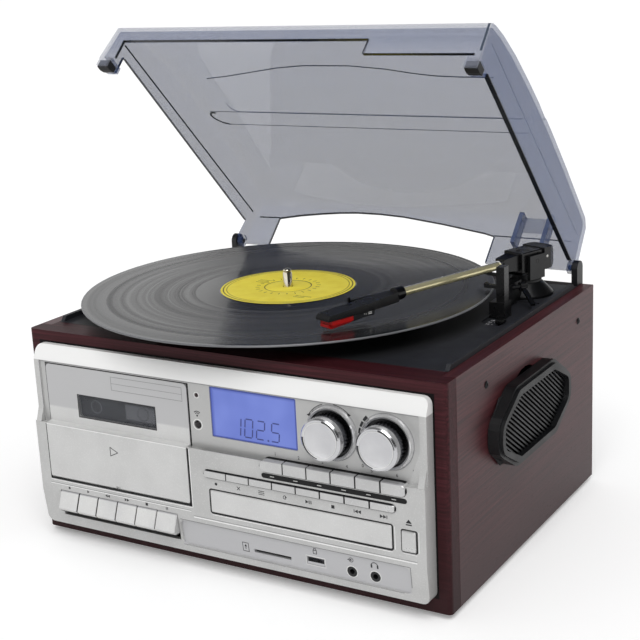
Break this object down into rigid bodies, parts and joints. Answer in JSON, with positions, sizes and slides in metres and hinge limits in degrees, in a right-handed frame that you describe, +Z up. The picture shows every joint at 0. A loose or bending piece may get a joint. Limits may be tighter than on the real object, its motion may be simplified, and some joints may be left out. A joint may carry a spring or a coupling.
{
  "type": "all-in-one record player",
  "caption": "Wooden box music player with a silver control front, a turntable and tonearm on top under a hinged smoke-grey dust cover, a tape door, a disc tray and slatted side speakers.",
  "frame": {"origin": "under the middle of the whole object's bounding box, on the floor", "axes": "+X to the listener's right, +Y to the back, +Z up; the controls face -Y"},
  "size_m": [0.3502, 0.3146, 0.359],
  "materials": {
    "front_frame": "dark reddish brown wood veneer, satin lacquer",
    "left_side_panel": "dark reddish brown wood veneer, satin lacquer",
    "right_side_panel": "dark reddish brown wood veneer, satin lacquer",
    "back_panel": "dark brown fibreboard with black vents and sockets",
    "bottom_panel": "dark brown fibreboard with low black feet",
    "deck_plate": "fine-grained black plastic",
    "front_bezel": "silver painted plastic moulding, satin",
    "lcd_window": "clear display window over a blue backlight",
    "speaker_grille_left": "black slatted plastic",
    "speaker_driver_left": "black cone with a dark frame",
    "speaker_grille_right": "black slatted plastic",
    "speaker_driver_right": "black cone with a dark frame",
    "tonearm_base": "black plastic",
    "arm_rest": "black plastic",
    "hinge_bracket_left": "black plastic",
    "hinge_bracket_right": "black plastic",
    "spindle": "polished steel",
    "drive_motor": "zinc-plated can",
    "drive_belt": "black rubber",
    "cd_drive": "zinc-plated sheet case",
    "circuit_board": "green board with metal and black sockets",
    "cassette_mechanism": "black plastic with white reel spindles",
    "lid": "clear smoke-grey acrylic, glossy, black rubber bumpers",
    "platter": "black plastic",
    "record": "black vinyl with fine grooves and a yellow paper label",
    "motor_pulley": "turned brass",
    "tonearm_yoke": "black plastic",
    "tonearm_block": "black plastic",
    "tonearm_tube": "polished chromed tube",
    "headshell": "black plastic",
    "cartridge": "black body with a red stylus holder",
    "cue_lever": "black plastic",
    "cue_platform": "black plastic",
    "speed_switch": "black plastic",
    "cassette_door": "silver painted plastic moulding, satin",
    "cassette_window": "dark tinted window",
    "cassette_key_1": "pale silver plastic key",
    "cassette_key_2": "pale silver plastic key",
    "cassette_key_3": "pale silver plastic key",
    "cassette_key_4": "pale silver plastic key",
    "cassette_key_5": "pale silver plastic key",
    "cassette_key_6": "pale silver plastic key",
    "function_button_1": "silver plastic button",
    "function_button_2": "silver plastic button",
    "function_button_3": "silver plastic button",
    "function_button_4": "silver plastic button",
    "function_button_5": "silver plastic button",
    "function_button_6": "silver plastic button",
    "transport_button_1": "silver plastic button",
    "transport_button_2": "silver plastic button",
    "transport_button_3": "silver plastic button",
    "transport_button_4": "silver plastic button",
    "transport_button_5": "silver plastic button",
    "transport_button_6": "silver plastic button",
    "transport_button_7": "silver plastic button",
    "transport_button_8": "silver plastic button",
    "open_close_button": "silver plastic button",
    "cd_tray": "silver plastic front on a black tray",
    "tuning_knob": "chromed rim, spun metal face, ribbed black side",
    "volume_knob": "chromed rim, spun metal face, ribbed black side"
  },
  "bodies": {
    "cabinet": {"front_frame": "front_frame", "left_side_panel": "left_side_panel", "right_side_panel": "right_side_panel", "back_panel": "back_panel", "bottom_panel": "bottom_panel", "deck_plate": "deck_plate", "front_bezel": "front_bezel", "lcd_window": "lcd_window", "speaker_grille_left": "speaker_grille_left", "speaker_grille_right": "speaker_grille_right", "speaker_driver_left": "speaker_driver_left", "speaker_driver_right": "speaker_driver_right", "tonearm_base": "tonearm_base", "arm_rest": "arm_rest", "hinge_bracket_left": "hinge_bracket_left", "hinge_bracket_right": "hinge_bracket_right", "spindle": "spindle", "drive_motor": "drive_motor", "drive_belt": "drive_belt", "cd_drive": "cd_drive", "circuit_board": "circuit_board", "cassette_mechanism": "cassette_mechanism"},
    "dust_cover": {"lid": "lid"},
    "turntable": {"platter": "platter", "record": "record"},
    "pulley": {"motor_pulley": "motor_pulley"},
    "arm_mount": {"tonearm_yoke": "tonearm_yoke"},
    "arm": {"tonearm_block": "tonearm_block", "tonearm_tube": "tonearm_tube", "headshell": "headshell", "cartridge": "cartridge"},
    "lift_lever": {"cue_lever": "cue_lever"},
    "lift_bar": {"cue_platform": "cue_platform"},
    "speed_slider": {"speed_switch": "speed_switch"},
    "tape_door": {"cassette_door": "cassette_door", "cassette_window": "cassette_window"},
    "disc_tray": {"cd_tray": "cd_tray"},
    "tuning": {"tuning_knob": "tuning_knob"},
    "volume": {"volume_knob": "volume_knob"},
    "eject": {"open_close_button": "open_close_button"},
    "key_1": {"cassette_key_1": "cassette_key_1"},
    "key_2": {"cassette_key_2": "cassette_key_2"},
    "key_3": {"cassette_key_3": "cassette_key_3"},
    "key_4": {"cassette_key_4": "cassette_key_4"},
    "key_5": {"cassette_key_5": "cassette_key_5"},
    "key_6": {"cassette_key_6": "cassette_key_6"},
    "function_1": {"function_button_1": "function_button_1"},
    "function_2": {"function_button_2": "function_button_2"},
    "function_3": {"function_button_3": "function_button_3"},
    "function_4": {"function_button_4": "function_button_4"},
    "function_5": {"function_button_5": "function_button_5"},
    "function_6": {"function_button_6": "function_button_6"},
    "transport_1": {"transport_button_1": "transport_button_1"},
    "transport_2": {"transport_button_2": "transport_button_2"},
    "transport_3": {"transport_button_3": "transport_button_3"},
    "transport_4": {"transport_button_4": "transport_button_4"},
    "transport_5": {"transport_button_5": "transport_button_5"},
    "transport_6": {"transport_button_6": "transport_button_6"},
    "transport_7": {"transport_button_7": "transport_button_7"},
    "transport_8": {"transport_button_8": "transport_button_8"}
  },
  "joints": [
    {"name": "lid_hinge", "type": "hinge", "parent": "cabinet", "child": "dust_cover", "pos_m": [0, 0.12286, 0.169], "axis": [-1, 0, 0], "range_deg": [-46, 14]},
    {"name": "platter_spin", "type": "hinge", "parent": "cabinet", "child": "turntable", "pos_m": [-0.0208, -0.00684, 0.158], "axis": [0, 0, -1], "continuous": true},
    {"name": "pulley_spin", "type": "hinge", "parent": "cabinet", "child": "pulley", "pos_m": [-0.07128, 0.05777, 0.158], "axis": [0, 0, -1], "continuous": true},
    {"name": "tonearm_swing", "type": "hinge", "parent": "cabinet", "child": "arm_mount", "pos_m": [0.127, 0.08606, 0.1825], "axis": [0, 0, 1], "range_deg": [-21, 20.75]},
    {"name": "tonearm_tilt", "type": "hinge", "parent": "arm_mount", "child": "arm", "pos_m": [0.127, 0.08606, 0.1825], "axis": [-0.9469, 0.3216, 0], "range_deg": [0, 3]},
    {"name": "cue_lever_turn", "type": "hinge", "parent": "cabinet", "child": "lift_lever", "pos_m": [0.136, 0.05906, 0.1687], "axis": [-0.7071, -0.7071, 0], "range_deg": [0, 48]},
    {"name": "cue_platform_lift", "type": "slide", "parent": "cabinet", "child": "lift_bar", "axis": [0, 0, 1], "range_m": [0, 0.0024], "stiffness_N_per_m": 0.5, "springref_m": 0.0101},
    {"name": "speed_switch_slide", "type": "slide", "parent": "cabinet", "child": "speed_slider", "axis": [0, 1, 0], "range_m": [-0.0046, 0.0046]},
    {"name": "cassette_door_hinge", "type": "hinge", "parent": "cabinet", "child": "tape_door", "pos_m": [0, -0.13944, 0.0534], "axis": [1, 0, 0], "range_deg": [0, 28]},
    {"name": "cassette_key_1_press", "type": "hinge", "parent": "cabinet", "child": "key_1", "pos_m": [-0.13805, -0.12014, 0.03935], "axis": [1, 0, 0], "range_deg": [0, 8], "stiffness_Nm_per_rad": 0.05, "springref_deg": -5.73},
    {"name": "cassette_key_2_press", "type": "hinge", "parent": "cabinet", "child": "key_2", "pos_m": [-0.12071, -0.12014, 0.03935], "axis": [1, 0, 0], "range_deg": [0, 8], "stiffness_Nm_per_rad": 0.05, "springref_deg": -5.73},
    {"name": "cassette_key_3_press", "type": "hinge", "parent": "cabinet", "child": "key_3", "pos_m": [-0.10337, -0.12014, 0.03935], "axis": [1, 0, 0], "range_deg": [0, 8], "stiffness_Nm_per_rad": 0.05, "springref_deg": -5.73},
    {"name": "cassette_key_4_press", "type": "hinge", "parent": "cabinet", "child": "key_4", "pos_m": [-0.08603, -0.12014, 0.03935], "axis": [1, 0, 0], "range_deg": [0, 8], "stiffness_Nm_per_rad": 0.05, "springref_deg": -5.73},
    {"name": "cassette_key_5_press", "type": "hinge", "parent": "cabinet", "child": "key_5", "pos_m": [-0.06868, -0.12014, 0.03935], "axis": [1, 0, 0], "range_deg": [0, 8], "stiffness_Nm_per_rad": 0.05, "springref_deg": -5.73},
    {"name": "cassette_key_6_press", "type": "hinge", "parent": "cabinet", "child": "key_6", "pos_m": [-0.05134, -0.12014, 0.03935], "axis": [1, 0, 0], "range_deg": [0, 8], "stiffness_Nm_per_rad": 0.05, "springref_deg": -5.73},
    {"name": "function_button_1_press", "type": "slide", "parent": "cabinet", "child": "function_1", "axis": [0, 1, 0], "range_m": [0, 0.0012], "stiffness_N_per_m": 200, "springref_m": -0.001},
    {"name": "function_button_2_press", "type": "slide", "parent": "cabinet", "child": "function_2", "axis": [0, 1, 0], "range_m": [0, 0.0012], "stiffness_N_per_m": 200, "springref_m": -0.001},
    {"name": "function_button_3_press", "type": "slide", "parent": "cabinet", "child": "function_3", "axis": [0, 1, 0], "range_m": [0, 0.0012], "stiffness_N_per_m": 200, "springref_m": -0.001},
    {"name": "function_button_4_press", "type": "slide", "parent": "cabinet", "child": "function_4", "axis": [0, 1, 0], "range_m": [0, 0.0012], "stiffness_N_per_m": 200, "springref_m": -0.001},
    {"name": "function_button_5_press", "type": "slide", "parent": "cabinet", "child": "function_5", "axis": [0, 1, 0], "range_m": [0, 0.0012], "stiffness_N_per_m": 200, "springref_m": -0.001},
    {"name": "function_button_6_press", "type": "slide", "parent": "cabinet", "child": "function_6", "axis": [0, 1, 0], "range_m": [0, 0.0012], "stiffness_N_per_m": 200, "springref_m": -0.001},
    {"name": "transport_button_1_press", "type": "slide", "parent": "cabinet", "child": "transport_1", "axis": [0, 1, 0], "range_m": [0, 0.0012], "stiffness_N_per_m": 200, "springref_m": -0.001},
    {"name": "transport_button_2_press", "type": "slide", "parent": "cabinet", "child": "transport_2", "axis": [0, 1, 0], "range_m": [0, 0.0012], "stiffness_N_per_m": 200, "springref_m": -0.001},
    {"name": "transport_button_3_press", "type": "slide", "parent": "cabinet", "child": "transport_3", "axis": [0, 1, 0], "range_m": [0, 0.0012], "stiffness_N_per_m": 200, "springref_m": -0.001},
    {"name": "transport_button_4_press", "type": "slide", "parent": "cabinet", "child": "transport_4", "axis": [0, 1, 0], "range_m": [0, 0.0012], "stiffness_N_per_m": 200, "springref_m": -0.001},
    {"name": "transport_button_5_press", "type": "slide", "parent": "cabinet", "child": "transport_5", "axis": [0, 1, 0], "range_m": [0, 0.0012], "stiffness_N_per_m": 200, "springref_m": -0.001},
    {"name": "transport_button_6_press", "type": "slide", "parent": "cabinet", "child": "transport_6", "axis": [0, 1, 0], "range_m": [0, 0.0012], "stiffness_N_per_m": 200, "springref_m": -0.001},
    {"name": "transport_button_7_press", "type": "slide", "parent": "cabinet", "child": "transport_7", "axis": [0, 1, 0], "range_m": [0, 0.0012], "stiffness_N_per_m": 200, "springref_m": -0.001},
    {"name": "transport_button_8_press", "type": "slide", "parent": "cabinet", "child": "transport_8", "axis": [0, 1, 0], "range_m": [0, 0.0012], "stiffness_N_per_m": 200, "springref_m": -0.001},
    {"name": "open_close_button_press", "type": "slide", "parent": "cabinet", "child": "eject", "axis": [0, 1, 0], "range_m": [0, 0.0012], "stiffness_N_per_m": 200, "springref_m": -0.001},
    {"name": "cd_tray_slide", "type": "slide", "parent": "cabinet", "child": "disc_tray", "axis": [0, -1, 0], "range_m": [0, 0.125]},
    {"name": "tuning_knob_turn", "type": "hinge", "parent": "cabinet", "child": "tuning", "pos_m": [0.0888, -0.13644, 0.1171], "axis": [0, -1, 0], "continuous": true},
    {"name": "volume_knob_turn", "type": "hinge", "parent": "cabinet", "child": "volume", "pos_m": [0.1281, -0.13644, 0.1171], "axis": [0, -1, 0], "range_deg": [-150, 150]}
  ],
  "couplings": [
    {"joint": "pulley_spin", "follows": "platter_spin", "ratio": 11.667},
    {"joint": "cue_lever_turn", "follows": "tonearm_tilt", "ratio": 16},
    {"joint": "cue_platform_lift", "follows": "tonearm_tilt", "m_per_rad": 0.045837}
  ]
}
